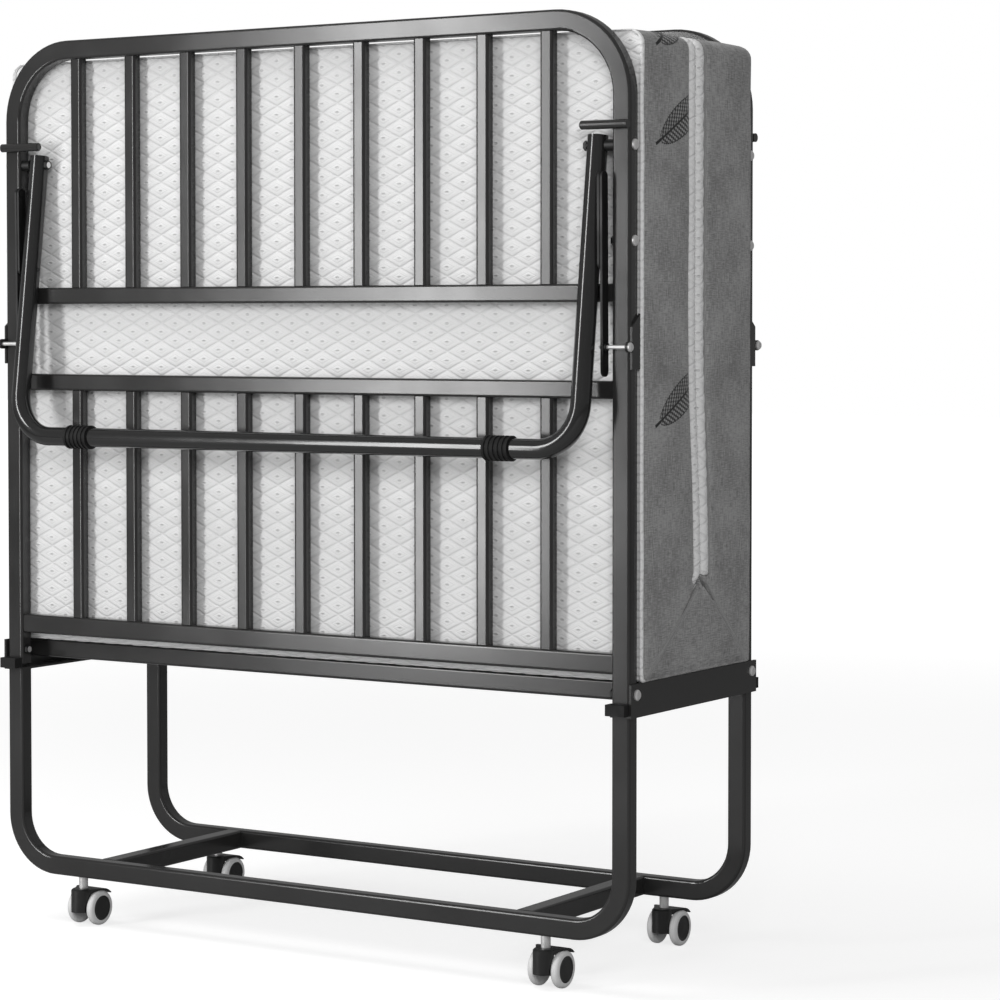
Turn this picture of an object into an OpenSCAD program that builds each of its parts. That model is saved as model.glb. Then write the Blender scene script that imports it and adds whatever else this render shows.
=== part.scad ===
// Folding cot on casters, shown folded. Front is -Y, the floor is z = 0, and all sizes are in millimetres.

/* [Overall] */
// Width over the side rails
frame_w = 965; // [800:5:1300]
// Depth over the rails of the two folded halves
frame_depth = 314; // [290:1:390]
// Height of the folded frame
frame_h = 1177; // [1080:1:1420]
// Height of the main fold pivots
pivot_z = 364; // [345:1:430]
// Height of the underside of the base frame
base_z = 65; // [60:1:80]

/* [Rectangular tube] */
// Tube width in the plane of a frame
tube_w = 25; // [20:0.5:30]
// Tube depth across a frame
tube_d = 20; // [16:0.5:26]
// Wall of the rectangular tube
tube_wall = 1.2; // [0.8:0.1:2]
// Outer corner radius of the tube section
tube_corner = 3.5; // [2:0.1:4]
// Outer radius of the bends at the top of each half
top_bend = 105; // [70:1:130]
// Outer radius of the bends at the bottom of the base
base_bend = 78; // [60:1:110]

/* [Bars and slats] */
// Height of the two middle bars
mid_bar_h = 22; // [18:0.5:26]
// Height of the bottom bar of each half
low_bar_h = 25; // [18:0.5:28]
// How far the bars sit behind the front of the rails
bar_setback = 3; // [1:0.5:5]
// Top of the upper middle bar, down from the top of the frame
upper_bar_drop = 326.5; // [280:0.5:340]
// Clear gap between the two middle bars
mid_gap = 93; // [80:1:110]
// Underside of the bottom bar above the pivot
low_bar_rise = 23; // [21:0.5:30]
// Slats in each row
slat_count = 9; // [5:1:13]
// Middle of the outer slats in from the outside of the frame
slat_inset = 118.5; // [102:0.5:283]
// Slat width
slat_w = 18; // [14:0.5:22]
// Slat thickness
slat_d = 14; // [10:0.5:15]
// How far the slats sit behind the front of the rails
slat_setback = 4; // [3:0.5:5]

/* [Base] */
// Thickness of the side bar plate
plate_t = 3; // [2:0.5:4]
// Height of the side bar
side_bar_h = 40; // [36:1:48]
// Top of the side bar above the pivot
side_bar_above = 13; // [11:0.5:15]
// Length of a rail below its pivot
rail_below = 19; // [16:0.5:20]
// Gap between a rail and the side bar beside it
rail_gap = 1; // [0.5:0.1:2]
// Depth of the base top bars
top_bar_d = 16; // [12:1:20]
// Height of the base top bars
top_bar_h = 24; // [18:1:26]
// Outer face of the base top bars from the middle plane
top_bar_y = 120; // [100:1:122]
// Cross tubes from the middle plane
cross_x = 325; // [200:1:330]
// How far the rail stop clips stand in front of the rails
clip_reach = 15; // [10:1:18]

/* [Leg] */
// Diameter of the leg tube
leg_dia = 25; // [20:0.5:26]
// Wall of the leg tube
leg_wall = 1.2; // [0.8:0.1:2]
// Centre of each leg limb inside the inner face of the rail
leg_inset = 25.5; // [24:0.5:30]
// Bend radius of the leg tube on its centre line
leg_bend = 55; // [40:1:80]
// Leg pivot below the top of the frame
leg_pivot_drop = 163; // [150:1:180]
// Leg tube beyond its pivot
leg_stub = 12; // [9:0.5:12.5]
// Centre of the stop peg above the leg pivot
peg_rise = 23.5; // [22:0.5:26]
// Diameter of the stop peg
peg_dia = 11; // [8:0.5:12]
// Diameter over the ribs of the rubber grips
grip_dia = 31; // [28:0.5:36]
// Length of a rubber grip
grip_len = 36; // [24:1:60]
// Grip centre in from the outside of the frame
grip_inset = 158.5; // [152:0.5:283]

/* [Brace] */
// Brace bolt below the top of the frame
brace_drop = 401.5; // [390:0.5:410]
// Brace bolt in front of the rails
brace_out = 6.5; // [5.5:0.5:10]
// Brace stud down the leg from the leg pivot
stud_down = 141; // [130:1:150]
// Width of the brace links
link_w = 14; // [12:0.5:15]
// Thickness of the brace links
link_t = 3; // [2:0.5:3]
// Thickness of the brace plate on a rail
brace_plate_t = 3; // [2:0.5:3.5]
// Height of the brace plate
brace_plate_h = 66; // [50:1:80]
// Tail of the lower link past its bolt
link_tail = 28; // [20:1:30]

/* [Casters] */
// Caster stems in from the outside of the frame
stem_inset = 121.5; // [112:0.5:183]
// Wheel diameter
wheel_dia = 46; // [40:1:50]
// Hub diameter
hub_dia = 33; // [26:0.5:36]
// Width of one wheel
wheel_w = 11; // [10:0.5:16]
// Middle of each wheel from the middle of its caster
wheel_x = 16.2; // [16:0.1:22]
// Distance of the axle behind the stem
caster_trail = 13; // [10:0.5:16]
// Diameter of the swivel barrel
barrel_dia = 26; // [22:1:28]
// Diameter of the caster stem
stem_dia = 12; // [8:0.5:13]

/* [Mattress] */
// Width of the mattress
mattress_w = 964; // [800:1:1300]
// Gap between the frame and the folded mattress
mattress_gap = 7.5; // [7:0.5:12]
// Top of the mattress below the top of the frame
mattress_drop = 27; // [26:1:60]
// Height of the fold of the mattress above the pivots
fold_rise = 116; // [90:1:130]

/* [Fasteners] */
// Diameter of the pivot bolts
bolt_dia = 8; // [6:0.5:10]
// Diameter of the frame screws, brace bolts and rivets
screw_dia = 5; // [4:0.5:6]
// Diameter of the bolt heads
head_dia = 13; // [11:0.5:15]
// Height of the bolt heads
head_h = 3.5; // [2.5:0.5:5]
// Running clearance in radius of a pin in its hole
run_gap = 0.05; // [0.02:0.01:0.1]
// Frame screw below the top of the frame
screw_drop = 276; // [260:1:290]

/* [Hidden] */
$fn = 64;

charcoal = [0.07, 0.07, 0.075];
black = [0.03, 0.03, 0.03];
bright = [0.75, 0.75, 0.76];
knit = [0.9, 0.9, 0.89];
grey = [0.62, 0.62, 0.63];

// Planes of the folded frame, as distances from the middle
rail_out = frame_w / 2;
rail_in = rail_out - tube_w;
rail_x = rail_out - tube_w / 2;
slat_pitch = 2 * (rail_out - slat_inset) / (slat_count - 1);
grip_x = rail_out - grip_inset;
stem_x = rail_out - stem_inset;
rail_front = frame_depth / 2;
rail_back = rail_front - tube_d;
rail_y = rail_front - tube_d / 2;
bar_front = rail_front - bar_setback;
bar_d = bar_front - rail_back;

// Heights on a half
upper_bar_top = frame_h - upper_bar_drop;
lower_bar_top = upper_bar_top - mid_bar_h - mid_gap;
low_bar_z = pivot_z + low_bar_rise;
leg_pivot_z = frame_h - leg_pivot_drop;
brace_z = frame_h - brace_drop;
screw_z = frame_h - screw_drop;
nut_r = 6.3;
nut_t = 4;
nut_gap = 0.3;
brace_head_dia = 11;
rail_end_z = pivot_z - rail_below;

// Base
side_bar_top = pivot_z + side_bar_above;
side_bar_z = side_bar_top - side_bar_h;
web_in = rail_out + rail_gap;
web_out = web_in + plate_t;
web_reach = rail_front + 3;
clip_out = rail_front + clip_reach;
clip_gap = 0.5;

// Leg: the stop peg touches the tube, but for a small gap, both folded and opened out
leg_r = leg_dia / 2;
leg_x = rail_in - leg_inset;
peg_y = rail_front + peg_dia / 2;
peg_out = peg_y - rail_y;
peg_touch = leg_r + peg_dia / 2 + 0.3;
peg_far = norm([peg_out, peg_rise]);
peg_half = acos(peg_touch / peg_far);
leg_tilt = atan2(peg_rise, peg_out) - peg_half;
leg_splay = peg_half - atan2(peg_out, peg_rise);
leg_len = (pivot_z - grip_dia / 2) / cos(leg_splay);

// Brace: the two links lie in line when folded and when the leg is out
brace_y = rail_front + brace_out;
stud_in = [rail_y + stud_down * sin(leg_tilt), leg_pivot_z - stud_down * cos(leg_tilt)];
stud_outward = [rail_y + stud_down * cos(leg_splay), leg_pivot_z + stud_down * sin(leg_splay)];
near_reach = norm(stud_in - [brace_y, brace_z]);
far_reach = norm(stud_outward - [brace_y, brace_z]);
lower_link_len = (far_reach + near_reach) / 2;
upper_link_len = (far_reach - near_reach) / 2;
link_lean = atan2(stud_in[0] - brace_y, stud_in[1] - brace_z);
knee_y = brace_y + lower_link_len * sin(link_lean);
knee_z = brace_z + lower_link_len * cos(link_lean);
link_stand = 1.5;
link_gap = 1;
upper_link_x = leg_x + leg_r + link_stand;
lower_link_x = upper_link_x + link_t + link_gap;
open_gap = 0.3;

// Casters
axle_z = wheel_dia / 2;
stem_y = rail_y;
stem_gap = 15;
hood_top = base_z - stem_gap;
barrel_r = barrel_dia / 2;
barrel_z = 19;
web_gap = 1;
web_half = wheel_x - wheel_w / 2 - web_gap;
wheel_clear = 1.2;
shell_t = 2;
shell_in = axle_z + wheel_clear;
shell_out = shell_in + shell_t;
shell_half = wheel_x + wheel_w / 2;
axle_dia = 6;
hub_depth = 3;
stem_seat = 14;
stem_above = 8;

// Mattress
mattress_face = rail_back - mattress_gap;
mattress_top = frame_h - mattress_drop;
mattress_rest = 1.5;
mattress_low = side_bar_top + mattress_rest;
fold_z = pivot_z + fold_rise;
fold_gap = 1.5;
fold_slope = (fold_z - mattress_low) / mattress_face;

module both_sides() {
    children();
    mirror([1, 0, 0]) children();
}

module to_rear() {
    mirror([0, 1, 0]) children();
}

// Rectangle with round corners, centred
module round_rect(w, h, r) {
    square([w - 2 * r, h], center = true);
    square([w, h - 2 * r], center = true);
    for (x = [-1, 1]) {
        for (y = [-1, 1]) {
            translate([x * (w / 2 - r), y * (h / 2 - r)]) circle(r);
        }
    }
}

// Section of a rectangular tube, centred
module tube_section(w, h) {
    difference() {
        round_rect(w, h, tube_corner);
        round_rect(w - 2 * tube_wall, h - 2 * tube_wall, tube_corner - tube_wall);
    }
}

// Straight tube along X from x0 to x1
module tube_x(x0, x1, h, d) {
    translate([x0, 0, 0]) rotate([90, 0, 90]) linear_extrude(x1 - x0) tube_section(d, h);
}

// Straight tube along Z from z0 to z1
module tube_z(z0, z1, w, d) {
    translate([0, 0, z0]) linear_extrude(z1 - z0) tube_section(w, d);
}

// One side of a U of rectangular tube, bent at the top, in the plane y = 0
module bent_side(end_z, top_z, bend) {
    translate([rail_x, 0, 0]) tube_z(end_z, top_z - bend, tube_w, tube_d);
    translate([rail_out - bend, 0, top_z - bend]) rotate([90, 0, 0]) rotate_extrude(angle = 90) {
        translate([bend - tube_w / 2, 0]) tube_section(tube_w, tube_d);
    }
}

module bent_frame(end_z, top_z, bend) {
    both_sides() bent_side(end_z, top_z, bend);
    translate([0, 0, top_z - tube_w / 2]) tube_x(bend - rail_out, rail_out - bend, tube_w, tube_d);
}

// Round bar along X
module rod_x(x0, x1, r) {
    translate([x0, 0, 0]) rotate([0, 90, 0]) cylinder(h = x1 - x0, r = r);
}

// Low domed bolt head on the face x, facing outwards
module bolt_head(x, r, h) {
    translate([x, 0, 0]) rotate([0, 90, 0]) {
        cylinder(h = h * 0.5, r = r);
        translate([0, 0, h * 0.5]) cylinder(h = h * 0.5, r1 = r, r2 = r * 0.72);
    }
}

module hex_nut_x(x0, x1, r) {
    translate([x0, 0, 0]) rotate([0, 90, 0]) cylinder(h = x1 - x0, r = r, $fn = 6);
}

// ---------- Base ----------

// U of tube that stands on two casters, with a hole in its bottom wall for each stem
module base_u() {
    difference() {
        translate([0, -rail_y, 0]) mirror([0, 0, 1]) bent_frame(-side_bar_z, -base_z, base_bend);
        both_sides() translate([stem_x, -stem_y, base_z - 1]) {
            cylinder(h = tube_wall + 2, d = stem_dia + 2 * run_gap);
        }
    }
}

module base_front_frame() {
    color(charcoal) base_u();
}

module base_rear_frame() {
    color(charcoal) to_rear() base_u();
}

module base_cross_tubes() {
    color(charcoal) for (s = [-1, 1]) {
        translate([s * cross_x, rail_back, base_z + tube_w / 2]) rotate([90, 0, 0]) {
            linear_extrude(2 * rail_back) tube_section(tube_w, tube_w);
        }
    }
}

module base_top_bars() {
    color(charcoal) for (s = [-1, 1]) {
        translate([0, s * (top_bar_y - top_bar_d / 2), side_bar_top - 1 - top_bar_h / 2]) {
            tube_x(-web_in, web_in, top_bar_h, top_bar_d);
        }
    }
}

module side_bar() {
    difference() {
        union() {
            translate([web_in, -web_reach, side_bar_z]) cube([plate_t, 2 * web_reach, side_bar_h]);
            translate([rail_in, -web_reach, side_bar_z]) {
                cube([web_in - rail_in, 2 * web_reach, plate_t]);
            }
        }
        for (s = [-1, 1]) {
            translate([0, s * rail_y, pivot_z]) rod_x(web_in - 1, web_out + 1, bolt_dia / 2 + run_gap);
        }
    }
}

module base_side_bar_left() {
    color(charcoal) mirror([1, 0, 0]) side_bar();
}

module base_side_bar_right() {
    color(charcoal) side_bar();
}

// Rubber block that the foot of a rail leans on when its half is up
module rail_stop_clip() {
    clip_top = pivot_z - tube_d / 2 - clip_gap;
    clip_z = side_bar_z + plate_t;
    translate([rail_in, -clip_out, clip_z]) {
        cube([web_in - rail_in, clip_reach - clip_gap, clip_top - clip_z]);
    }
}

module rail_stop_clips() {
    color(black) {
        both_sides() rail_stop_clip();
        to_rear() both_sides() rail_stop_clip();
    }
}

module main_pivot_bolt() {
    translate([0, -rail_y, pivot_z]) {
        bolt_head(web_out, head_dia / 2, head_h);
        rod_x(rail_in - nut_gap - nut_t, web_out, bolt_dia / 2);
    }
}

module main_pivot_bolts() {
    color(bright) {
        both_sides() main_pivot_bolt();
        to_rear() both_sides() main_pivot_bolt();
    }
}

module main_pivot_nut() {
    translate([0, -rail_y, pivot_z]) ring_nut(rail_in - nut_gap - nut_t, nut_r, bolt_dia);
}

module main_pivot_nuts() {
    color(black) {
        both_sides() main_pivot_nut();
        to_rear() both_sides() main_pivot_nut();
    }
}

module caster_stems() {
    color(bright) for (x = [-1, 1]) {
        for (y = [-1, 1]) {
            translate([x * stem_x, y * stem_y, hood_top - stem_seat]) {
                cylinder(h = stem_seat + stem_gap + tube_wall + stem_above, d = stem_dia);
            }
        }
    }
}

module mattress_middle() {
    color(knit) rotate([90, 0, 90]) translate([0, 0, -mattress_w / 2]) linear_extrude(mattress_w) {
        polygon([[-mattress_face, mattress_low], [mattress_face, mattress_low], [0, fold_z]]);
    }
}

// ---------- One half, made at the front ----------

module half_frame_tube() {
    difference() {
        translate([0, -rail_y, 0]) bent_frame(rail_end_z, frame_h, top_bend);
        both_sides() {
            for (z = [pivot_z, leg_pivot_z]) {
                translate([0, -rail_y, z]) rod_x(rail_in - 1, rail_out + 1, bolt_dia / 2 + run_gap);
            }
            translate([0, -rail_y, screw_z]) rod_x(rail_in - 1, rail_out + 1, screw_dia / 2 + run_gap);
        }
    }
}

module bar_across(z, h) {
    translate([0, -bar_front + bar_d / 2, z + h / 2]) tube_x(-rail_in, rail_in, h, bar_d);
}

module half_bottom_bar() {
    bar_across(low_bar_z, low_bar_h);
}

module half_mid_bars() {
    bar_across(upper_bar_top - mid_bar_h, mid_bar_h);
    bar_across(lower_bar_top - mid_bar_h, mid_bar_h);
}

module slat_row(z0, z1) {
    for (i = [0 : slat_count - 1]) {
        slat_x = (i - (slat_count - 1) / 2) * slat_pitch;
        translate([slat_x, -rail_front + slat_setback + slat_d / 2, 0]) tube_z(z0, z1, slat_w, slat_d);
    }
}

module half_upper_slats() {
    slat_row(upper_bar_top, frame_h - tube_w);
}

module half_lower_slats() {
    slat_row(low_bar_z + low_bar_h, lower_bar_top - mid_bar_h);
}

// Round peg across the front of the rail, that the leg tube leans on
module half_stop_pegs() {
    peg_chamfer = 1.5;
    peg_in = leg_x - leg_r;
    both_sides() translate([0, -peg_y, leg_pivot_z + peg_rise]) {
        rod_x(peg_in, rail_out, peg_dia / 2);
        translate([peg_in - peg_chamfer, 0, 0]) rotate([0, 90, 0]) {
            cylinder(h = peg_chamfer, r1 = peg_dia / 2 - peg_chamfer, r2 = peg_dia / 2);
        }
    }
}

// Plate on the outside of the rail, with a lug in front of the rail for the brace bolt
module half_brace_plates() {
    plate_low = brace_z - 0.4 * brace_plate_h;
    plate_high = plate_low + brace_plate_h;
    slope = 16;
    lug_r = head_dia / 2;
    both_sides() difference() {
        translate([rail_out, 0, 0]) rotate([90, 0, 90]) linear_extrude(brace_plate_t) {
            polygon([[-rail_front, plate_low], [-rail_back, plate_low], [-rail_back, plate_high],
                [-rail_front, plate_high - slope]]);
            translate([-brace_y, brace_z]) circle(lug_r);
            translate([-brace_y, brace_z - lug_r]) square([brace_out, 2 * lug_r]);
        }
        translate([0, -brace_y, brace_z]) {
            rod_x(rail_out - 1, rail_out + brace_plate_t + 1, screw_dia / 2);
        }
    }
}

module half_brace_bolts() {
    both_sides() translate([0, -brace_y, brace_z]) {
        bolt_head(rail_out + brace_plate_t, brace_head_dia / 2, head_h);
        rod_x(upper_link_x, rail_out + brace_plate_t, screw_dia / 2);
    }
}

// Leg pivot bolts, which pass through rail, spacer and leg, and the frame screws below them
module half_side_bolts() {
    leg_in = leg_x - leg_r;
    both_sides() {
        translate([0, -rail_y, leg_pivot_z]) {
            bolt_head(rail_out, head_dia / 2, head_h);
            rod_x(leg_in - nut_t - nut_gap, rail_out, bolt_dia / 2);
        }
        translate([0, -rail_y, screw_z]) {
            bolt_head(rail_out, head_dia / 2, head_h);
            rod_x(rail_in - nut_t, rail_out, screw_dia / 2);
        }
    }
}

module ring_nut(x, r, pin_dia) {
    difference() {
        hex_nut_x(x, x + nut_t, r);
        rod_x(x - 1, x + nut_t + 1, pin_dia / 2);
    }
}

module half_rail_nuts() {
    both_sides() {
        translate([0, -rail_y, leg_pivot_z]) ring_nut(leg_x - leg_r - nut_gap - nut_t, nut_r, bolt_dia);
        translate([0, -rail_y, screw_z]) ring_nut(rail_in - nut_t, nut_r, screw_dia);
    }
}

module half_leg_spacers() {
    spacer_r = 7;
    both_sides() translate([0, -rail_y, leg_pivot_z]) difference() {
        rod_x(leg_x + leg_r + nut_gap, rail_in, spacer_r);
        rod_x(leg_x + leg_r, rail_in + 1, bolt_dia / 2);
    }
}

module half_mattress() {
    inner = 0.75;
    lift = fold_gap * norm([1, fold_slope]);
    outer_z = mattress_low + lift;
    inner_z = fold_z - inner * fold_slope + lift;
    rotate([90, 0, 90]) translate([0, 0, -mattress_w / 2]) linear_extrude(mattress_w) {
        polygon([[-mattress_face, outer_z], [-inner, inner_z], [-inner, mattress_top],
            [-mattress_face, mattress_top]]);
    }
}

// ---------- Leg, hanging from its pivot and leaned out against the peg ----------

module at_leg() {
    translate([0, -rail_y, leg_pivot_z]) rotate([-leg_tilt, 0, 0]) children();
}

module leg_ring() {
    difference() {
        circle(leg_r);
        circle(leg_r - leg_wall);
    }
}

module leg_tube() {
    at_leg() difference() {
        union() {
            both_sides() {
                translate([leg_x, 0, -leg_len + leg_bend]) {
                    linear_extrude(leg_len - leg_bend + leg_stub) leg_ring();
                }
                translate([leg_x - leg_bend, 0, -leg_len + leg_bend]) rotate([90, 0, 0]) {
                    rotate_extrude(angle = -90) translate([leg_bend, 0]) leg_ring();
                }
            }
            translate([leg_bend - leg_x, 0, -leg_len]) rotate([90, 0, 90]) {
                linear_extrude(2 * (leg_x - leg_bend)) leg_ring();
            }
        }
        both_sides() {
            rod_x(leg_x - leg_dia, leg_x + leg_dia, bolt_dia / 2 + run_gap);
            translate([0, 0, -stud_down]) rod_x(leg_x - leg_dia, leg_x + leg_dia, screw_dia / 2);
        }
    }
}

// Ribbed rubber sleeve on the bottom bar of the leg, which is its foot when it is out
module leg_grips() {
    ribs = 6;
    rib = grip_len / (2 * ribs - 1);
    groove_r = grip_dia / 2 - 1.3;
    at_leg() both_sides() translate([grip_x - grip_len / 2, 0, -leg_len]) difference() {
        union() {
            rod_x(0, grip_len, groove_r);
            for (i = [0 : ribs - 1]) {
                translate([2 * i * rib, 0, 0]) rod_x(0, rib, grip_dia / 2);
            }
        }
        rod_x(-1, grip_len + 1, leg_r);
    }
}

module leg_studs() {
    at_leg() both_sides() translate([0, 0, -stud_down]) {
        rod_x(leg_x - leg_r - 1, upper_link_x - open_gap, screw_dia / 2);
    }
}

// ---------- Brace ----------

// Flat link along Z from a pin at the origin to a pin at z = len
module link_plate(x, len, tail) {
    translate([x, 0, 0]) rotate([90, 0, 90]) linear_extrude(link_t) difference() {
        union() {
            translate([-link_w / 2, -tail]) square([link_w, len + tail]);
            translate([0, len]) circle(d = link_w);
            translate([0, -tail]) circle(d = link_w);
        }
        circle(d = screw_dia + 2 * run_gap);
        translate([0, len]) circle(d = screw_dia + 2 * run_gap);
    }
}

module lower_links() {
    boss_r = 5.5;
    boss_t = 2.5;
    both_sides() translate([0, -brace_y, brace_z]) rotate([link_lean, 0, 0]) {
        link_plate(lower_link_x, lower_link_len, link_tail);
        difference() {
            rod_x(lower_link_x + link_t, lower_link_x + link_t + boss_t, boss_r);
            rod_x(lower_link_x, lower_link_x + link_t + boss_t + 1, screw_dia / 2 + run_gap);
        }
    }
}

module knee_rivets() {
    rivet_r = 5;
    rivet_t = 0.8;
    clear = 0.1;
    knee_in = upper_link_x - clear;
    knee_out = lower_link_x + link_t + clear;
    both_sides() translate([0, -knee_y, knee_z]) {
        rod_x(knee_in - rivet_t, knee_out + rivet_t, screw_dia / 2);
        rod_x(knee_in - rivet_t, knee_in, rivet_r);
        rod_x(knee_out, knee_out + rivet_t, rivet_r);
    }
}

module upper_links() {
    both_sides() translate([0, -knee_y, knee_z]) rotate([180 + link_lean, 0, 0]) {
        link_plate(upper_link_x, upper_link_len, 0);
    }
}

// ---------- Caster, with its stem on the Z axis and its wheels behind it ----------

module at_caster(x, y) {
    translate([x * stem_x, y * stem_y, 0]) children();
}

// Barrel that turns on the stem, with a web between the wheels and a fender over the back of them
module caster_hood() {
    barrel_ahead = 5.5;
    barrel_chamfer = 2;
    web_r = 10;
    fender_low = 18;
    fender_back = caster_trail + shell_out;
    fender_front = 12;
    difference() {
        union() {
            translate([0, -barrel_ahead, barrel_z]) {
                cylinder(h = hood_top - barrel_chamfer - barrel_z, r = barrel_r);
            }
            translate([0, -barrel_ahead, hood_top - barrel_chamfer]) {
                cylinder(h = barrel_chamfer, r1 = barrel_r, r2 = barrel_r - barrel_chamfer);
            }
            translate([-web_half, caster_trail, axle_z]) rotate([90, 0, 90]) {
                linear_extrude(2 * web_half) circle(web_r);
            }
            intersection() {
                translate([0, 0, axle_z + fender_low]) linear_extrude(hood_top - axle_z - fender_low) {
                    polygon([[-barrel_r + 2, -barrel_ahead], [barrel_r - 2, -barrel_ahead],
                        [shell_half, fender_front], [shell_half, fender_back],
                        [-shell_half, fender_back], [-shell_half, fender_front]]);
                }
                translate([-shell_half, caster_trail, axle_z]) rotate([90, 0, 90]) {
                    linear_extrude(2 * shell_half) {
                        circle(shell_out);
                        translate([-shell_out, 0]) square([shell_out, shell_out]);
                    }
                }
            }
        }
        both_sides() translate([0, caster_trail, axle_z]) rod_x(web_half, shell_half + 1, shell_in);
        translate([0, 0, hood_top - stem_seat - 0.5]) {
            cylinder(h = stem_seat + 1, d = stem_dia + 2 * run_gap);
        }
        translate([0, caster_trail, axle_z]) rod_x(-web_half - 1, web_half + 1, axle_dia / 2);
    }
}

module caster_axle() {
    translate([0, caster_trail, axle_z]) rod_x(-wheel_x - 1, wheel_x + 1, axle_dia / 2);
}

// Wheel with its tread, hollowed on the outside for the hub cap
module tyre() {
    round_r = 4.5;
    half = wheel_w / 2;
    outer = wheel_dia / 2;
    rotate([0, 90, 0]) rotate_extrude() {
        difference() {
            translate([0, -half]) square([outer, wheel_w]);
            translate([0, -half - 1]) square([axle_dia / 2 + run_gap, wheel_w + 2]);
            translate([0, half - hub_depth]) square([hub_dia / 2, hub_depth + 1]);
            for (s = [-1, 1]) {
                translate([outer - round_r, s * (half - round_r)]) difference() {
                    translate([0, s > 0 ? 0 : -round_r - 1]) square([round_r + 1, round_r + 1]);
                    circle(round_r);
                }
            }
        }
    }
}

module hub() {
    half = wheel_w / 2;
    lip = 1.4;
    dish = 0.6;
    rotate([0, 90, 0]) rotate_extrude() polygon([
        [0, half - hub_depth], [hub_dia / 2, half - hub_depth], [hub_dia / 2, half - dish],
        [hub_dia / 2 - lip, half], [hub_dia / 2 - 2.5 * lip, half - dish], [0, half - dish / 3]]);
}

module at_wheels() {
    both_sides() translate([wheel_x, caster_trail, axle_z]) children();
}

module caster_tyres() {
    at_wheels() tyre();
}

module caster_hubs() {
    at_wheels() hub();
}

// ---------- The halves, legs and braces at the front and at the rear ----------

module front_frame_tube() {
    color(charcoal) half_frame_tube();
}

module front_bottom_bar() {
    color(charcoal) half_bottom_bar();
}

module front_mid_bars() {
    color(charcoal) half_mid_bars();
}

module front_upper_slats() {
    color(charcoal) half_upper_slats();
}

module front_lower_slats() {
    color(charcoal) half_lower_slats();
}

module front_stop_pegs() {
    color(charcoal) half_stop_pegs();
}

module front_brace_plates() {
    color(black) half_brace_plates();
}

module front_brace_bolts() {
    color(bright) half_brace_bolts();
}

module front_side_bolts() {
    color(bright) half_side_bolts();
}

module front_rail_nuts() {
    color(black) half_rail_nuts();
}

module front_leg_spacers() {
    color(black) half_leg_spacers();
}

module front_leg_tube() {
    color(charcoal) leg_tube();
}

module front_leg_grips() {
    color(black) leg_grips();
}

module front_leg_studs() {
    color(bright) leg_studs();
}

module front_lower_links() {
    color(black) lower_links();
}

module front_knee_rivets() {
    color(bright) knee_rivets();
}

module front_upper_links() {
    color(black) upper_links();
}

module mattress_front() {
    color(knit) half_mattress();
}

module rear_frame_tube() {
    color(charcoal) to_rear() half_frame_tube();
}

module rear_bottom_bar() {
    color(charcoal) to_rear() half_bottom_bar();
}

module rear_mid_bars() {
    color(charcoal) to_rear() half_mid_bars();
}

module rear_upper_slats() {
    color(charcoal) to_rear() half_upper_slats();
}

module rear_lower_slats() {
    color(charcoal) to_rear() half_lower_slats();
}

module rear_stop_pegs() {
    color(charcoal) to_rear() half_stop_pegs();
}

module rear_brace_plates() {
    color(black) to_rear() half_brace_plates();
}

module rear_brace_bolts() {
    color(bright) to_rear() half_brace_bolts();
}

module rear_side_bolts() {
    color(bright) to_rear() half_side_bolts();
}

module rear_rail_nuts() {
    color(black) to_rear() half_rail_nuts();
}

module rear_leg_spacers() {
    color(black) to_rear() half_leg_spacers();
}

module rear_leg_tube() {
    color(charcoal) to_rear() leg_tube();
}

module rear_leg_grips() {
    color(black) to_rear() leg_grips();
}

module rear_leg_studs() {
    color(bright) to_rear() leg_studs();
}

module rear_lower_links() {
    color(black) to_rear() lower_links();
}

module rear_knee_rivets() {
    color(bright) to_rear() knee_rivets();
}

module rear_upper_links() {
    color(black) to_rear() upper_links();
}

module mattress_rear() {
    color(knit) to_rear() half_mattress();
}

// ---------- The four casters ----------

module caster_hood_fl() {
    color(black) at_caster(-1, -1) caster_hood();
}

module caster_axle_fl() {
    color(bright) at_caster(-1, -1) caster_axle();
}

module caster_tyres_fl() {
    color(grey) at_caster(-1, -1) caster_tyres();
}

module caster_hubs_fl() {
    color(black) at_caster(-1, -1) caster_hubs();
}

module caster_hood_fr() {
    color(black) at_caster(1, -1) caster_hood();
}

module caster_axle_fr() {
    color(bright) at_caster(1, -1) caster_axle();
}

module caster_tyres_fr() {
    color(grey) at_caster(1, -1) caster_tyres();
}

module caster_hubs_fr() {
    color(black) at_caster(1, -1) caster_hubs();
}

module caster_hood_rl() {
    color(black) at_caster(-1, 1) caster_hood();
}

module caster_axle_rl() {
    color(bright) at_caster(-1, 1) caster_axle();
}

module caster_tyres_rl() {
    color(grey) at_caster(-1, 1) caster_tyres();
}

module caster_hubs_rl() {
    color(black) at_caster(-1, 1) caster_hubs();
}

module caster_hood_rr() {
    color(black) at_caster(1, 1) caster_hood();
}

module caster_axle_rr() {
    color(bright) at_caster(1, 1) caster_axle();
}

module caster_tyres_rr() {
    color(grey) at_caster(1, 1) caster_tyres();
}

module caster_hubs_rr() {
    color(black) at_caster(1, 1) caster_hubs();
}

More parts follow.
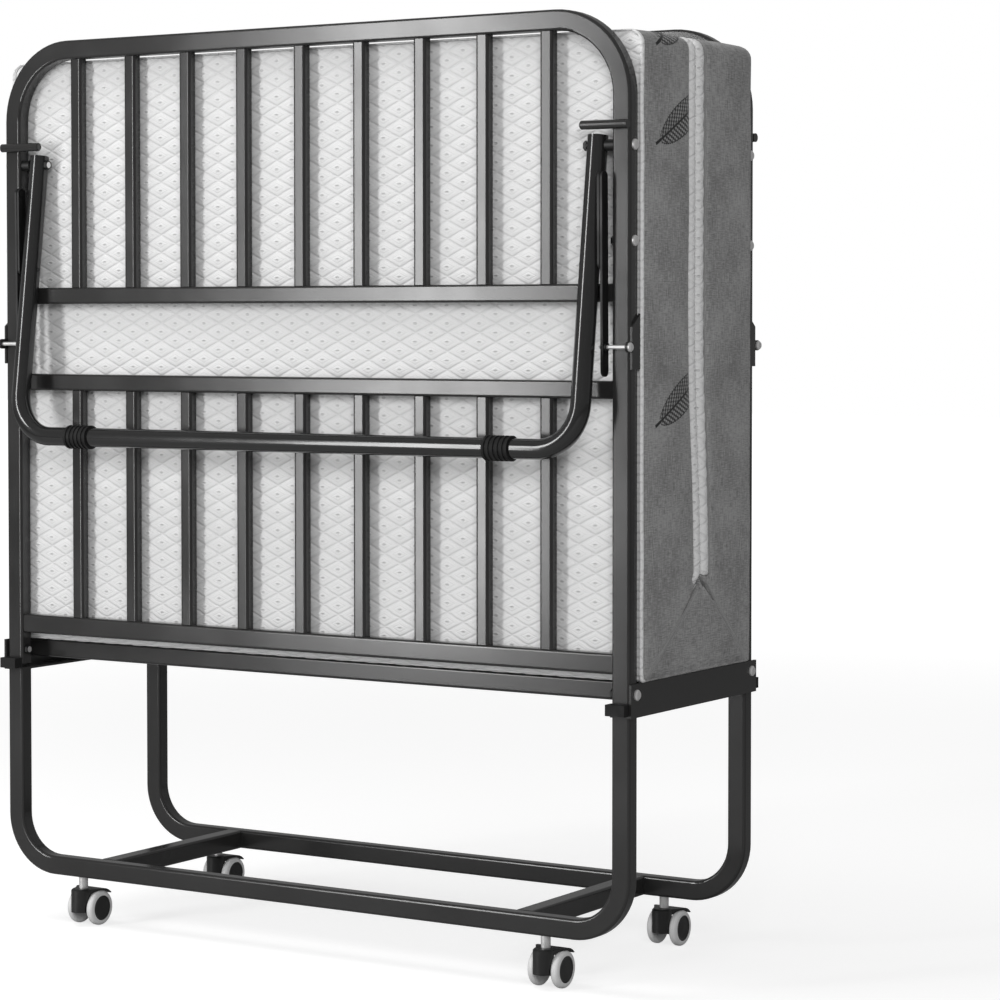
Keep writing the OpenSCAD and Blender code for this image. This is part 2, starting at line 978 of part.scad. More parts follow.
base_front_frame();
base_rear_frame();
base_cross_tubes();
base_top_bars();
base_side_bar_left();
base_side_bar_right();
rail_stop_clips();
main_pivot_bolts();
main_pivot_nuts();
caster_stems();
mattress_middle();
front_frame_tube();
front_bottom_bar();
front_mid_bars();
front_upper_slats();
front_lower_slats();
front_stop_pegs();
front_brace_plates();
front_brace_bolts();
front_side_bolts();
front_leg_spacers();
front_rail_nuts();
mattress_front();
front_leg_tube();
front_leg_grips();
front_leg_studs();
front_lower_links();
front_knee_rivets();
front_upper_links();
rear_frame_tube();
rear_bottom_bar();
rear_mid_bars();
rear_upper_slats();
rear_lower_slats();
rear_stop_pegs();
rear_brace_plates();
rear_brace_bolts();
rear_side_bolts();
rear_leg_spacers();
rear_rail_nuts();
mattress_rear();
rear_leg_tube();
rear_leg_grips();
rear_leg_studs();
rear_lower_links();
rear_knee_rivets();
rear_upper_links();
caster_hood_fl();
caster_axle_fl();
caster_tyres_fl();
caster_hubs_fl();
caster_hood_fr();
caster_axle_fr();
caster_tyres_fr();
caster_hubs_fr();
caster_hood_rl();
caster_axle_rl();
caster_tyres_rl();
caster_hubs_rl();
caster_hood_rr();
caster_axle_rr();
caster_tyres_rr();
caster_hubs_rr();
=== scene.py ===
"""A folding cot on casters, shown folded: steel frame, folding legs and a quilted mattress."""
import math

import bmesh
import bpy
import numpy as np
from mathutils import Euler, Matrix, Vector, noise


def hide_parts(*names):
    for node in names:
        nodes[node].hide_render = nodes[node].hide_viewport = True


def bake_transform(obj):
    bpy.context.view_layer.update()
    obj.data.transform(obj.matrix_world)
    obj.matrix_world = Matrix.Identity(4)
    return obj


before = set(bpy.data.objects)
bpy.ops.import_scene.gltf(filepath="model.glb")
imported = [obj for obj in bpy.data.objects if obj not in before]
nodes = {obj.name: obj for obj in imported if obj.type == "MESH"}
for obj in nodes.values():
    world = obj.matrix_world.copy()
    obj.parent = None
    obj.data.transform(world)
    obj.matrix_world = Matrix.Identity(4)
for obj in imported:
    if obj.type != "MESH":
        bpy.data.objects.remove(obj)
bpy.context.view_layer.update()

mm = 0.001

# Camera and studio. The cot stands on a pale floor, seen from its front right at standing height.
# A tall soft box at the front left gives the sheen on the front of the tubes; the rest is even light.
view_turn = 0.561264
view_dip = math.radians(2.0)
camera_data = bpy.data.cameras.new("camera")
camera_data.sensor_width = 36.0
camera_data.lens = 36.0 * 3.02022
camera_data.shift_y = -0.0742
camera_data.clip_end = 60.0
camera = bpy.data.objects.new("camera", camera_data)
camera.location = (2.24333, -3.24485, 0.80703)
camera.rotation_euler = Euler((math.pi / 2 - view_dip, 0.0, view_turn))
bpy.context.collection.objects.link(camera)
bpy.context.scene.camera = camera


def soft_box(name, place, aim, width, height, power, glossy=True):
    data = bpy.data.lights.new(name, "AREA")
    data.shape = "RECTANGLE"
    data.size = width
    data.size_y = height
    data.energy = power
    lamp = bpy.data.objects.new(name, data)
    lamp.location = place
    lamp.visible_glossy = glossy
    lamp.rotation_euler = (Vector(aim) - Vector(place)).to_track_quat("-Z", "Y").to_euler()
    bpy.context.collection.objects.link(lamp)


soft_box("key_light", (-1.9, -3.3, 1.25), (0.0, 0.0, 0.7), 0.56, 2.6, 62.0)
soft_box("top_light", (-1.1, -0.9, 3.4), (0.1, 0.2, 0.3), 1.8, 1.8, 50.0, False)
soft_box("fill_light", (3.0, -3.7, 2.4), (0.0, 0.0, 0.6), 1.8, 1.8, 88.0, False)
world = bpy.data.worlds.new("studio")
bpy.context.scene.world = world
world.use_nodes = True
sky = world.node_tree
rays = sky.nodes.new("ShaderNodeLightPath")
level = sky.nodes.new("ShaderNodeMapRange")
sky.links.new(rays.outputs["Is Camera Ray"], level.inputs["Value"])
level.inputs["To Min"].default_value = 0.26
level.inputs["To Max"].default_value = 1.0
sky.links.new(level.outputs[0], sky.nodes["Background"].inputs["Strength"])
sky.nodes["Background"].inputs["Color"].default_value = (1.0, 1.0, 1.0, 1.0)
bpy.context.scene.view_settings.view_transform = "Standard"


class Link:
    """A value inside a material. Sums with it add Math nodes."""

    def __init__(self, paint, socket):
        self.paint = paint
        self.socket = socket

    def math(self, operation, *others):
        values = dict(enumerate((self, *others)))
        return self.paint.add("ShaderNodeMath", {"operation": operation}, values)

    def __add__(self, other):
        return self.math("ADD", other)

    def __sub__(self, other):
        return self.math("SUBTRACT", other)

    def __rsub__(self, other):
        return (self * -1.0) + other

    def __mul__(self, other):
        return self.math("MULTIPLY", other)

    def __truediv__(self, other):
        return self.math("DIVIDE", other)

    def __pow__(self, other):
        return self.math("POWER", other)

    __radd__ = __add__
    __rmul__ = __mul__


class Paint:
    """One material: its shader, and the ways to add nodes to it."""

    def __init__(self, name, **fixed):
        self.material = bpy.data.materials.new(name)
        self.material.use_nodes = True
        self.tree = self.material.node_tree
        self.shader = self.tree.nodes["Principled BSDF"]
        for socket, value in fixed.items():
            self.shader.inputs[socket.replace("_", " ")].default_value = value

    def plug(self, socket, value):
        if isinstance(value, Link):
            self.tree.links.new(value.socket, socket)
        else:
            socket.default_value = value

    def add(self, kind, settings=None, values=None, out=0):
        node = self.tree.nodes.new(kind)
        for key, value in (settings or {}).items():
            setattr(node, key, value)
        for key, value in (values or {}).items():
            self.plug(node.inputs[key], value)
        return Link(self, node.outputs[out])

    def set(self, **values):
        for socket, value in values.items():
            self.plug(self.shader.inputs[socket.replace("_", " ")], value)

    def place(self, scale=(1.0, 1.0, 1.0)):
        spot = self.add("ShaderNodeTexCoord", out="Object")
        return self.add("ShaderNodeMapping", {}, {"Vector": spot, "Scale": scale})

    def noise(self, spot, scale, detail=3.0, rough=0.5):
        values = {"Vector": spot, "Scale": scale, "Detail": detail, "Roughness": rough}
        return self.add("ShaderNodeTexNoise", {}, values)

    def range(self, value, low, high, to_low=0.0, to_high=1.0):
        values = {0: value, 1: low, 2: high, 3: to_low, 4: to_high}
        return self.add("ShaderNodeMapRange", {"interpolation_type": "SMOOTHSTEP"}, values)

    def mix(self, share, a, b):
        values = {0: share, 6: a, 7: b}
        return self.add("ShaderNodeMix", {"data_type": "RGBA"}, values, out=2)

    def bump(self, height, distance, strength=1.0):
        values = {"Height": height, "Distance": distance, "Strength": strength}
        return self.add("ShaderNodeBump", {}, values)


def grey(level, warm=0.0):
    return (level + warm, level, level - warm * 0.5, 1.0)


def coat(paint, *names):
    for name in names:
        piece = nodes[name]
        piece.data.materials.clear()
        piece.data.materials.append(paint.material)


# Frame: bent and welded steel tube, powder coated in satin charcoal. The coat has a faint orange peel, and its
# roughness varies a little from place to place.
frame_coat = Paint("charcoal_powder_coat", Coat_Roughness=0.18, Coat_Weight=0.1)
spot = frame_coat.place()
cloud = frame_coat.noise(spot, 9.0)
peel = frame_coat.noise(spot, 900.0, 2.0)
tone = frame_coat.mix(cloud, grey(0.020, 0.0004), grey(0.027, 0.0004))
frame_coat.set(Base_Color=tone, Roughness=frame_coat.range(cloud, 0.3, 0.7, 0.16, 0.22))
frame_coat.set(Normal=frame_coat.bump(peel, 0.00012, 0.15))
halves = ("front", "rear")
tube_parts = ("frame_tube", "bottom_bar", "mid_bars", "upper_slats", "lower_slats", "stop_pegs",
              "brace_plates")
for half in halves:
    coat(frame_coat, *(f"{half}_{part}" for part in tube_parts))
coat(frame_coat, "base_front_frame", "base_rear_frame", "base_cross_tubes", "base_top_bars")
coat(frame_coat, "base_side_bar_left", "base_side_bar_right")

# Legs: one bent round tube each, in the same charcoal but glossier, with a sharp line of light along it.
leg_coat = Paint("gloss_leg_coat", Coat_Roughness=0.06, Coat_Weight=0.3)
spot = leg_coat.place()
cloud = leg_coat.noise(spot, 14.0)
leg_coat.set(Base_Color=leg_coat.mix(cloud, grey(0.012), grey(0.018)))
leg_coat.set(Roughness=leg_coat.range(cloud, 0.3, 0.7, 0.13, 0.19))
leg_coat.set(Normal=leg_coat.bump(leg_coat.noise(spot, 700.0, 2.0), 0.00008, 0.3))
coat(leg_coat, "front_leg_tube", "rear_leg_tube")

# Brace links, spacers and nuts: stamped steel in dull black.
black_coat = Paint("dull_black_coat")
spot = black_coat.place()
cloud = black_coat.noise(spot, 30.0)
black_coat.set(Base_Color=black_coat.mix(cloud, grey(0.005), grey(0.010)))
black_coat.set(Roughness=black_coat.range(cloud, 0.3, 0.7, 0.42, 0.56))
black_coat.set(Normal=black_coat.bump(black_coat.noise(spot, 1200.0, 2.0), 0.0001, 0.4))
for half in halves:
    coat(black_coat, f"{half}_lower_links", f"{half}_upper_links", f"{half}_knee_rivets")
    coat(black_coat, f"{half}_leg_spacers", f"{half}_rail_nuts", f"{half}_leg_studs")
coat(black_coat, "main_pivot_nuts")

# Bolts, rivets and caster stems: zinc plated steel with fine turning marks and a little tarnish.
zinc = Paint("zinc_plate", Metallic=0.65)
spot = zinc.place()
cloud = zinc.noise(spot, 120.0)
zinc.set(Base_Color=zinc.mix(cloud, grey(0.68, 0.01), grey(0.86)))
zinc.set(Roughness=zinc.range(cloud, 0.3, 0.7, 0.36, 0.5))
zinc.set(Normal=zinc.bump(zinc.noise(zinc.place((1.0, 1.0, 8.0)), 1500.0, 2.0), 0.00005, 0.3))
for half in halves:
    coat(zinc, f"{half}_brace_bolts", f"{half}_side_bolts")
coat(zinc, "main_pivot_bolts", "caster_stems")
corners = ("fl", "fr", "rl", "rr")
coat(zinc, *(f"caster_axle_{corner}" for corner in corners))

# Grips and stops: black rubber, dull and slightly dusty.
rubber = Paint("black_rubber", Specular_IOR_Level=0.3)
spot = rubber.place()
dust = rubber.noise(spot, 60.0, 5.0)
rubber.set(Base_Color=rubber.mix(rubber.range(dust, 0.45, 0.8), grey(0.010), grey(0.024)))
rubber.set(Roughness=rubber.range(dust, 0.3, 0.7, 0.55, 0.75))
rubber.set(Normal=rubber.bump(rubber.noise(spot, 1800.0, 2.0), 0.0001, 0.5))
coat(rubber, "front_leg_grips", "rear_leg_grips", "rail_stop_clips")

# Casters: black moulded hoods and hubs, with pale grey soft treads.
moulding = Paint("black_moulding")
spot = moulding.place()
cloud = moulding.noise(spot, 80.0)
moulding.set(Base_Color=moulding.mix(cloud, grey(0.012), grey(0.018)))
moulding.set(Roughness=moulding.range(cloud, 0.3, 0.7, 0.34, 0.46))
moulding.set(Normal=moulding.bump(moulding.noise(spot, 2500.0, 2.0), 0.00005, 0.3))
tread = Paint("grey_tread")
spot = tread.place()
cloud = tread.noise(spot, 90.0, 4.0)
tread.set(Base_Color=tread.mix(cloud, grey(0.68), grey(0.78)))
tread.set(Roughness=tread.range(cloud, 0.3, 0.7, 0.42, 0.55))
tread.set(Normal=tread.bump(tread.noise(spot, 1500.0, 2.0), 0.00008, 0.3))
for corner in corners:
    coat(moulding, f"caster_hood_{corner}", f"caster_hubs_{corner}")
    coat(tread, f"caster_tyres_{corner}")

# Mattress cover: white double knit quilted in small diamonds, each with a stitched dimple in its middle, with
# painted shade in the seams and dimples.
# The pattern is on the cover's own map, in metres, so it follows the cloth round the folds.
quilt_x = 0.047
quilt_v = 0.023


def quilted_knit():
    knit = Paint("quilted_knit", Sheen_Weight=0.25, Sheen_Roughness=0.5, Specular_IOR_Level=0.25)
    cover = knit.add("ShaderNodeUVMap")
    across = knit.add("ShaderNodeSeparateXYZ", {}, {0: cover}, out=0) / quilt_x
    along = knit.add("ShaderNodeSeparateXYZ", {}, {0: cover}, out=1) / quilt_v
    rise = (across + along).math("FRACT")
    fall = (across - along).math("FRACT")
    rise_off = (rise - 0.5).math("ABSOLUTE")
    fall_off = (fall - 0.5).math("ABSOLUTE")
    farther = rise_off.math("MAXIMUM", fall_off)
    seam_groove = knit.range(farther, 0.38, 0.49)
    inner_groove = knit.range((farther - 0.22).math("ABSOLUTE"), 0.0, 0.05, 1.0, 0.0)
    dimple_hollow = knit.range(rise_off * rise_off + fall_off * fall_off, 0.0, 0.012, 1.0, 0.0)
    loops = knit.add("ShaderNodeMapping", {}, {"Vector": cover, "Scale": (900.0, 500.0, 1.0)})
    fuzz = knit.noise(loops, 1.0, 2.0)
    soil = knit.noise(knit.place(), 5.0)
    # The seams, dimples and faint inner diamonds are darkened towards grey: painted shade in their hollows.
    painted_shade = seam_groove * 0.11 + dimple_hollow * 0.34 + inner_groove * 0.05
    cloth = knit.mix(soil, grey(0.77), grey(0.82))
    knit.set(Base_Color=knit.mix(painted_shade, cloth, grey(0.30)))
    knit.set(Roughness=knit.range(fuzz, 0.2, 0.8, 0.8, 0.95))
    height = fuzz * 0.12 - seam_groove * 0.5 - dimple_hollow * 0.7 - inner_groove * 0.16
    knit.set(Normal=knit.bump(height, 0.0016, 0.9))
    return knit


# Border: grey melange linen-look cloth with slubs both ways, and a leaf embroidered in dark thread with a
# painted glint.
def border_linen(name, leaf_places=()):
    linen = Paint(name, Sheen_Weight=0.15, Specular_IOR_Level=0.2)
    cover = linen.add("ShaderNodeUVMap")
    slubs = []
    for stretch in ((60.0, 900.0, 1.0), (700.0, 90.0, 1.0)):
        strip = linen.add("ShaderNodeMapping", {}, {"Vector": cover, "Scale": stretch})
        slubs.append(linen.noise(strip, 1.0, 4.0, 0.65))
    cloud = linen.noise(cover, 16.0, 4.0)
    melange = slubs[0] * 0.45 + slubs[1] * 0.35 + cloud * 0.2
    cloth = linen.mix(linen.range(melange, 0.36, 0.64), grey(0.15, 0.001), grey(0.415, 0.001))
    run = linen.add("ShaderNodeSeparateXYZ", {}, {0: cover}, out=0)
    depth = linen.add("ShaderNodeSeparateXYZ", {}, {0: cover}, out=1)
    thread = None
    for place in leaf_places:
        leaf = embroidered_leaf(linen, run - place, depth - leaf_edge)
        thread = leaf if thread is None else thread.math("MAXIMUM", leaf)
    weave = slubs[0] + slubs[1]
    height = weave * 0.5
    if thread is not None:
        # The dark thread is lightened in random fine flecks: a painted glint.
        threads = linen.add("ShaderNodeMapping", {}, {"Vector": cover, "Scale": (900.0, 900.0, 1.0)})
        painted_glint = linen.noise(threads, 1.0)
        floss_with_glint = linen.mix(linen.range(painted_glint, 0.5, 0.75), grey(0.010), grey(0.06))
        cloth = linen.mix(thread, cloth, floss_with_glint)
        height = height + thread * 0.9
    linen.set(Base_Color=cloth)
    linen.set(Roughness=linen.range(melange, 0.3, 0.7, 0.82, 0.94))
    linen.set(Normal=linen.bump(height, 0.0006, 0.6))
    return linen


leaf_len = 0.130
leaf_wide = 0.0205
leaf_lean = math.radians(27.0)
leaf_edge = 0.405


def embroidered_leaf(linen, run, inward):
    """Mask of a stitched leaf whose stalk starts at run 0, inward 0, and which points up and inwards."""
    turn_c, turn_s = math.cos(leaf_lean), math.sin(leaf_lean)
    along = inward * turn_c + run * turn_s
    across = run * turn_c - inward * turn_s
    share = ((along - 0.012) / leaf_len).math("MAXIMUM", 0.0).math("MINIMUM", 1.0)
    half = (share * math.pi).math("SINE") ** 0.5 * leaf_wide
    off = across.math("ABSOLUTE")
    ragged = (along * 1400.0).math("SINE") * 0.0006
    inside = linen.range(half + ragged - off, -0.0004, 0.0004) * linen.range(along, 0.0125, 0.0135)
    rim = linen.range((half - off).math("ABSOLUTE"), 0.0008, 0.0024, 1.0, 0.0)
    rib = linen.range(off, 0.0008, 0.0022, 1.0, 0.0)
    veins = ((along - off * 0.9) * (2.0 * math.pi / 0.0075)).math("SINE")
    cross = ((along + off * 2.1) * (2.0 * math.pi / 0.0105)).math("SINE")
    fill = linen.range(veins + cross * 0.7, -0.5, 0.05)
    body = inside * (fill * 0.9).math("MAXIMUM", rim).math("MAXIMUM", rib)
    stalk_end = linen.range(along, 0.0, 0.001) * linen.range(along, 0.014, 0.016, 1.0, 0.0)
    stalk = linen.range(off, 0.0016, 0.0024, 1.0, 0.0) * stalk_end
    return body.math("MAXIMUM", stalk)


# Mattress: one foam slab that folds in a U, in a quilted knit cover with a linen border between its faces. Each
# half is lofted from the middle of the U to its head. Round the fold its sections lie close together, each with
# its share of the hinge's swing.
pivot = np.array([-147.0, 364.0])
face_y = -136.0
bottom_z = 377.0
corner_r = 8.0
band = 5.0
head_z = 1148.5
crease_z = 489.0
crease_gap = 0.6
row_step = 4.0
column_step = 6.0
wall_top = 540.0
fan_back = 40.0
crease_rise = 320.0


def outer_path(middle):
    """Points close together along the outside of a half: under the base, round the corner and up."""
    floor_run = [(y, bottom_z) for y in np.linspace(middle, face_y + corner_r, 200)]
    turn = np.linspace(-math.pi / 2, -math.pi, 60)
    centre = (face_y + corner_r, bottom_z + corner_r)
    bend = [(centre[0] + corner_r * math.cos(a), centre[1] + corner_r * math.sin(a)) for a in turn]
    wall = [(face_y, z) for z in np.linspace(centre[1], wall_top, 300)]
    return np.array(floor_run + bend + wall)


def sections(middle):
    """Outer and inner ends of each section line in the Y-Z plane, with the share of the swing of each.

    The crease between the halves leans: it stands at middle where it ends, and at 0 higher up.
    """
    fold_angle = math.atan2(crease_z - pivot[1], middle - pivot[0])
    radial = np.array([math.cos(fold_angle), math.sin(fold_angle)])
    across = np.array([-radial[1], radial[0]])

    def crease_y(z):
        rise = min(max((z - crease_z) / crease_rise, 0.0), 1.0)
        return middle * (1.0 - rise * rise * (3 - 2 * rise)) - crease_gap

    def fold_line_end(step):
        swing = step * step * (3 - 2 * step)
        base = pivot + across * band * (2 * step - 1)
        to_middle = (middle - crease_gap - base[0]) / radial[0]
        flat = (-crease_gap - pivot[0]) / math.sin(fold_angle + swing * math.pi / 2)
        return base + radial * min(to_middle, flat)

    path = outer_path(middle)
    share = ((path - pivot) @ across + band) / (2 * band)
    run = np.concatenate([[0.0], np.cumsum(np.linalg.norm(np.diff(path, axis=0), axis=1))])

    def on_path(length):
        return np.array([np.interp(length, run, path[:, k]) for k in (0, 1)])

    start_run = float(np.interp(0.0, share, run))
    end_run = float(np.interp(1.0, share, run))
    low_inner = fold_line_end(0.0)
    high_inner = fold_line_end(1.0)
    found = []
    for step in np.linspace(0.0, 1.0, 16, endpoint=False):
        inner = np.array([middle, low_inner[1]]) * (1 - step) + low_inner * step
        found.append((on_path(start_run * step), inner, 0.0))
    for step in np.linspace(0.0, 1.0, 25):
        outer = on_path(float(np.interp(step, share, run)))
        found.append((outer, fold_line_end(step), step * step * (3 - 2 * step)))
    fan_run = run[-1] - fan_back
    fan_z = on_path(fan_run)[1]
    for step in np.linspace(0.0, 1.0, 16)[1:]:
        z = high_inner[1] * (1 - step) + fan_z * step
        y = high_inner[0] * (1 - step) + crease_y(z) * step
        inner = np.array([min(y, crease_y(z)), z])
        found.append((on_path(end_run + (fan_run - end_run) * step), inner, 1.0))
    for row in range(1, int((head_z - fan_z) // row_step) + 1):
        z = fan_z + row_step * row
        found.append((np.array([face_y, z]), np.array([crease_y(z), z]), 1.0))
    ends = (pivot - across * band, pivot + across * band)
    return [np.array(part) for part in zip(*found)], ends


def opened(point, swing):
    """Where a point of the half lies once the half is down."""
    angle = swing * math.pi / 2
    y, z = point - pivot
    turn_c, turn_s = math.cos(angle), math.sin(angle)
    return pivot + np.array([y * turn_c - z * turn_s, y * turn_s + z * turn_c])


def cloth_run(ends, swings):
    """Length along a face of the half once it is down, ending on a whole diamond at the head."""
    flat = np.array([opened(point, swing) for point, swing in zip(ends, swings)])
    run = np.concatenate([[0.0], np.cumsum(np.linalg.norm(np.diff(flat, axis=0), axis=1))])
    return run - run[-1] % (quilt_v / mm)


def puff(x, v):
    """Fullness of the quilting, 0 on a seam and 1 inside a diamond."""
    across, along = x * mm / quilt_x, v * mm / quilt_v
    rise = np.abs(np.sin(math.pi * (across + along)))
    fall = np.abs(np.sin(math.pi * (across - along)))
    return (rise * fall) ** 0.5


half_width = 480.0
column_x = np.arange(-half_width, half_width + 1.0, column_step)
column_count = len(column_x)
round_columns = 2
round_rows = 3
press_x, press_z = 431.0, 1014.0
press_deep, press_wide = 5.0, 26.0


def plan(i, j, row_count):
    """Place of a grid point in plan, across and along, with the two head corners rounded."""
    x = column_x[i]
    step = j - (row_count - 1 - round_rows)
    side = min(i, column_count - 1 - i)
    if step <= 0 or side >= round_columns:
        return x, 0.0
    u = 1.0 - side / round_columns
    w = step / round_rows
    shift = round_columns * column_step * u * (1 - math.sqrt(1 - w * w / 2))
    return x - math.copysign(shift, x), round_rows * row_step * w * (math.sqrt(1 - u * u / 2) - 1)


def side_profile(thick, swing, roll, lap):
    """Offsets out of the side, depths from the outer face and cloth, for the rolls, seams and border.

    The outer roll swells past the rail beside it; lap is how far round it the linen reaches.
    """
    linen_from = (5 - 3 * round(lap)) * (swing > 0.5)
    rows = [(2.6, 0.6), (4.0, 0.6 - (1.6 + 2.0 * lap) * swing), (5.8, 0.8 - (2.6 + 2.6 * lap) * swing)]
    rows += [(7.5, 1.2 - (1.0 + 3.4 * lap) * swing), (7.9, 2.8 - 2.0 * lap), (5.9 + 2.4 * lap, 5.0)]
    rows = [(offset, depth, int(k >= linen_from)) for k, (offset, depth) in enumerate(rows)]
    depths = np.linspace(6.6, thick - 1.0 - 19.0 * roll, 13)
    for k, depth in enumerate(depths):
        crown = (1.8 - 0.6 * lap) * math.sin(math.pi * k / 12)
        rows.append((7.0 + 1.2 * lap + crown - 1.0 * (k == 12), depth, 1))
    ends = ((3.8, 18.2), (6.4, 16.0), (7.6, 12.0), (7.8, 8.0), (6.6, 4.2), (4.4, 1.6), (2.2, 0.4))
    sunk = 0.45 + 0.55 * roll
    return rows + [(offset * sunk, thick - depth * roll, int(roll < 0.3)) for offset, depth in ends]


def mattress_half(name, side, lap, cut, linen, knit):
    """Builds one half from its sections; side is 1 at the front and -1 at the rear."""
    outer_ends, inner_ends, swings = cut
    outer_run, inner_run = cloth_run(outer_ends, swings), cloth_run(inner_ends, swings)
    row_count = len(swings)
    fold_last = int(np.argmax(swings >= 1.0))
    order = np.arange(row_count)
    roll_share = np.clip((order - fold_last - 4) / 7.0, 0.0, 1.0) * 0.75 + 0.25
    calm = np.clip(np.abs(order - fold_last + 12) / 12.0 - 1.0, 0.0, 1.0)
    calm = calm * np.clip(order / 8.0, 0.0, 1.0)
    points = []
    uvs = []
    faces = []
    kinds = []
    thick = np.linalg.norm(inner_ends - outer_ends, axis=1)

    def section_point(j, extra, share):
        """Point on section line j, moved along the slab by extra and across it by share."""
        lift = np.array([0.0, extra])
        return outer_ends[j] + lift + (inner_ends[j] - outer_ends[j]) * share

    def add(x, y, z, u, v):
        points.append((x * mm, y * mm * side, z * mm))
        uvs.append((u * mm, v * mm))
        return len(points) - 1

    grids = []
    for face, run in (("outer", outer_run), ("inner", inner_run)):
        grid = []
        for j in range(row_count):
            direction = (inner_ends[j] - outer_ends[j]) / thick[j]
            row = []
            for i in range(column_count):
                x, extra = plan(i, j, row_count)
                full = puff(column_x[i], run[j])
                edge = min((half_width - abs(x)) / 30.0, 1.0)
                sink = 2.4 * (1.0 - full) * (0.35 + 0.65 * edge)
                if face == "outer":
                    spot_y, spot_z = section_point(j, extra, 0.0)
                    nearest = math.hypot(abs(x) - press_x, spot_z - press_z)
                    sink += press_deep * math.exp(-((nearest / press_wide) ** 2))
                    spot_y, spot_z = np.array([spot_y, spot_z]) + direction * sink
                else:
                    spot_y, spot_z = section_point(j, extra, 1.0) - direction * min(sink, 0.3 * thick[j])
                row.append(add(x, spot_y, spot_z, column_x[i], run[j] + extra))
            grid.append(row)
        grids.append(grid)
        for j in range(row_count - 1):
            for i in range(column_count - 1):
                quad = (grid[j][i], grid[j][i + 1], grid[j + 1][i + 1], grid[j + 1][i])
                faces.append(quad if face == "outer" else quad[::-1])
                kinds.append(0)
    last_row, last_column = row_count - 1, column_count - 1
    rim = [(last_column, j) for j in range(row_count)]
    rim += [(i, last_row) for i in range(last_column - 1, -1, -1)]
    rim += [(0, j) for j in range(last_row - 1, -1, -1)]
    spots = [(plan(i, j, row_count)[0], plan(i, j, row_count)[1] + row_step * j) for i, j in rim]
    lengths = np.concatenate([[0.0], np.cumsum([math.dist(a, b) for a, b in zip(spots, spots[1:])])])
    mirrored = np.minimum(lengths, lengths[-1] - lengths)
    previous = None
    for k, (i, j) in enumerate(rim):
        before = spots[max(k - 1, 0)]
        after = spots[min(k + 1, len(rim) - 1)]
        out_x, out_v = after[1] - before[1], before[0] - after[0]
        size = math.hypot(out_x, out_v)
        out_x, out_v = out_x / size, out_v / size
        if k in (0, len(rim) - 1):
            out_x, out_v = math.copysign(1.0, spots[k][0]), 0.0
        chain = [grids[0][j][i]]
        x, extra = plan(i, j, row_count)
        beyond = max(mirrored[k] - mirrored[last_row], 0.0)
        round_end = out_v > 0.95
        for offset, depth, kind in side_profile(thick[j], swings[j], roll_share[j], lap * swings[j]):
            share = depth / thick[j]
            run = outer_run[j] * (1 - share) + inner_run[j] * share + beyond
            ripple = 0.7 * calm[j] * noise.noise(Vector((x * 0.02, run * 0.016, depth * 0.03)))
            if kind == 0 and share > 0.5:
                ripple = 1.2 * (puff(depth, run) - 0.6) * roll_share[j]
            reach = (offset + ripple) * (1.0 - 0.6 * max(out_v, 0.0))
            spot_y, spot_z = section_point(j, extra + out_v * reach, share)
            flat_y, flat_z = opened(np.array([spot_y, spot_z]), swings[j])
            if round_end:
                kind = 0
            u, v = (half_width + depth, run) if kind == 0 else (-flat_y, flat_z)
            chain.append((add(x + out_x * reach, spot_y, spot_z, u, v), kind))
        chain.append(grids[1][j][i])
        if previous is not None:
            for m in range(len(chain) - 1):
                ids = [entry[0] if isinstance(entry, tuple) else entry for entry in
                       (previous[m], previous[m + 1], chain[m + 1], chain[m])]
                faces.append(tuple(ids))
                kinds.append(1 if isinstance(chain[m], tuple) and chain[m][1] == 1 else 0)
        previous = chain
        if k == 0:
            first = chain
    plain = [entry[0] if isinstance(entry, tuple) else entry for entry in first]
    plain_last = [entry[0] if isinstance(entry, tuple) else entry for entry in previous]
    cap = grids[0][0] + plain[1:-1] + grids[1][0][::-1] + plain_last[1:-1][::-1]
    faces.append(tuple(cap[::-1]))
    kinds.append(0)
    mesh = bpy.data.meshes.new(name)
    mesh.from_pydata(points, [], faces)
    layer = mesh.uv_layers.new(name="cover")
    corner_vertex = np.empty(len(mesh.loops), np.int64)
    mesh.loops.foreach_get("vertex_index", corner_vertex)
    layer.data.foreach_set("uv", np.array(uvs, np.float32)[corner_vertex].ravel())
    mesh.materials.append(knit.material)
    mesh.materials.append(linen.material)
    mesh.polygons.foreach_set("material_index", kinds)
    mesh.polygons.foreach_set("use_smooth", [True] * len(faces))
    work = bmesh.new()
    work.from_mesh(mesh)
    bmesh.ops.recalc_face_normals(work, faces=work.faces)
    work.faces.ensure_lookup_table()
    for edge in work.faces[len(faces) - 1].edges:
        edge.smooth = False
    work.to_mesh(mesh)
    work.free()
    piece = bpy.data.objects.new(name, mesh)
    bpy.context.collection.objects.link(piece)
    return piece


knit = quilted_knit()
leaf_heights = (680.0, 1016.0, 1134.0)
leaf_linen = border_linen("leaf_linen", [(z - pivot[0] - pivot[1]) * mm for z in leaf_heights])
plain_linen = border_linen("plain_linen")
crease_lean = 15.0
for half, side, lap, linen in (("front", 1, 0, leaf_linen), ("rear", -1, 1, plain_linen)):
    cut, (fold_start, fold_end) = sections(crease_lean * side)
    piece = mattress_half(f"{half}_mattress", side, lap, cut, linen, knit)
    start = (0.0, fold_start[0] * mm * side, fold_start[1] * mm)
    end = (0.0, fold_end[0] * mm * side, fold_end[1] * mm)
    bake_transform(piece)
    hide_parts(*(("mattress_front", "mattress_middle") if side == 1 else ("mattress_rear",)))

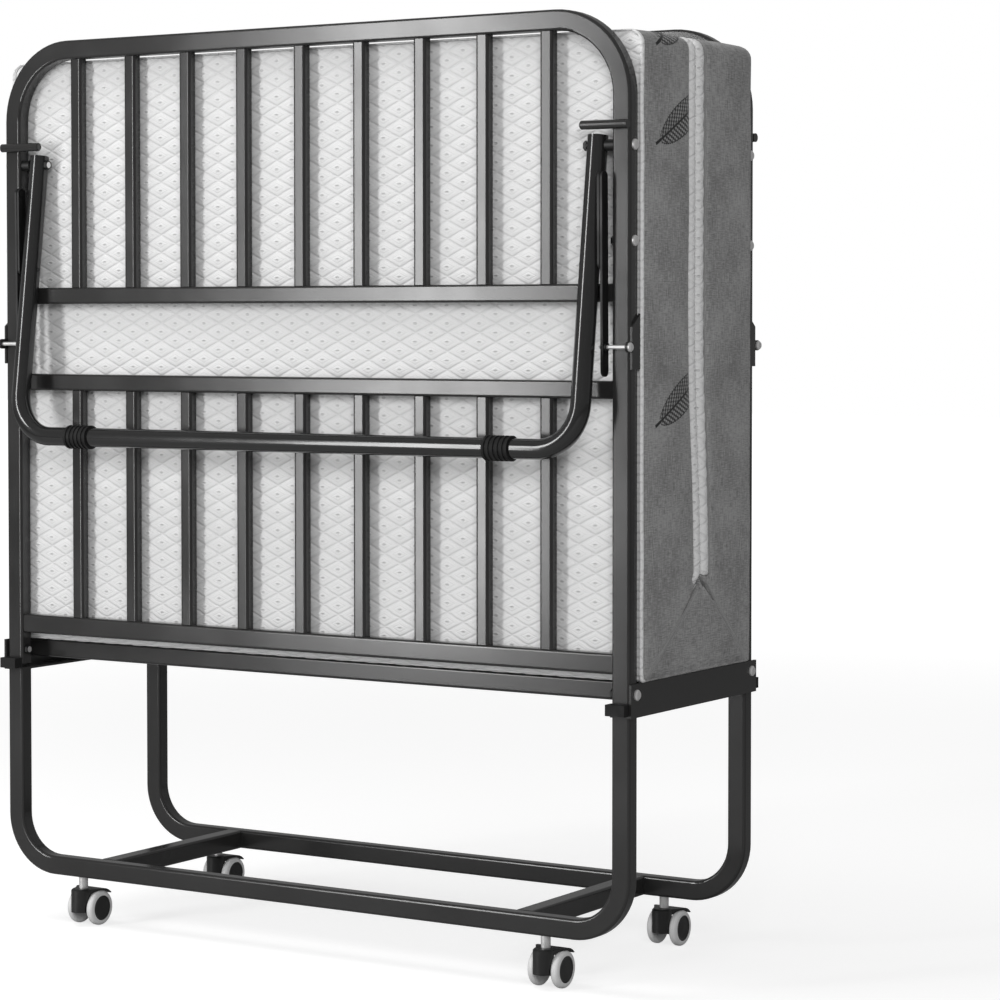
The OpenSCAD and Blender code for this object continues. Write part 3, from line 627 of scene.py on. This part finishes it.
# Floor: a plain pale sheet, lit so that it fades into the bright background.
floor_paint = Paint("pale_floor", Roughness=0.7, Specular_IOR_Level=0.0, Emission_Strength=1.0)
floor_paint.set(Base_Color=floor_paint.mix(floor_paint.noise(floor_paint.place(), 2.0), grey(0.42), grey(0.43)))
seen = floor_paint.add("ShaderNodeLightPath", out="Is Camera Ray")
far = floor_paint.add("ShaderNodeVectorMath", {"operation": "LENGTH"}, {0: floor_paint.place()}, out=1)
glow = floor_paint.range(far, 1.6, 6.0, 0.72, 1.0)
floor_paint.set(Emission_Color=floor_paint.mix(seen * glow, grey(0.0), grey(1.0)))
work = bmesh.new()
bmesh.ops.create_grid(work, x_segments=2, y_segments=2, size=20.0)
floor_mesh = bpy.data.meshes.new("floor")
work.to_mesh(floor_mesh)
work.free()
floor_mesh.materials.append(floor_paint.material)
floor = bpy.data.objects.new("floor", floor_mesh)
bpy.context.collection.objects.link(floor)
